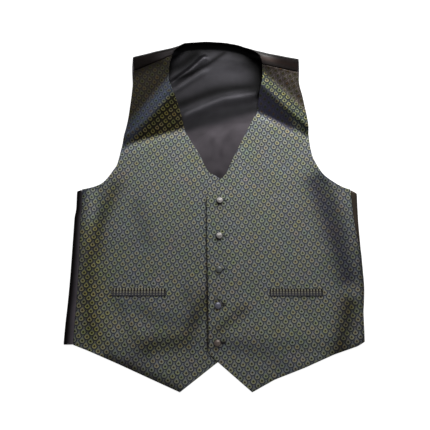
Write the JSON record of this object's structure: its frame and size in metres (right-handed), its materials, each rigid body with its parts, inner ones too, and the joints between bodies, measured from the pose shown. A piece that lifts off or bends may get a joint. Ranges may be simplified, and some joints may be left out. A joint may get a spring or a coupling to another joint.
{
  "type": "suit waistcoat",
  "caption": "V-neck suit waistcoat laid out flat, buttoned, with patterned pointed fronts, welt pockets and a satin back.",
  "frame": {"origin": "middle of the bounding box, on the surface that the waistcoat lies on", "axes": "+X across the body towards the wearer's left, +Y up the body from hem to shoulders, +Z out of the fronts, off the surface"},
  "size_m": [0.5425, 0.6818, 0.0266],
  "materials": {
    "front_jacquard": "woven silk-like jacquard, small ring-and-dot repeat, low sheen",
    "back_satin": "dark smooth satin",
    "lining_satin": "dark grey satin lining",
    "button_resin": "pearly grey resin"
  },
  "bodies": {
    "root": {"back_panel": "back_satin", "back_lining": "lining_satin", "front_right": "front_jacquard", "front_left": "front_jacquard", "welt_right": "front_jacquard", "welt_left": "front_jacquard", "button_1": "button_resin", "button_2": "button_resin", "button_3": "button_resin", "button_4": "button_resin", "button_5": "button_resin"}
  },
  "joints": []
}
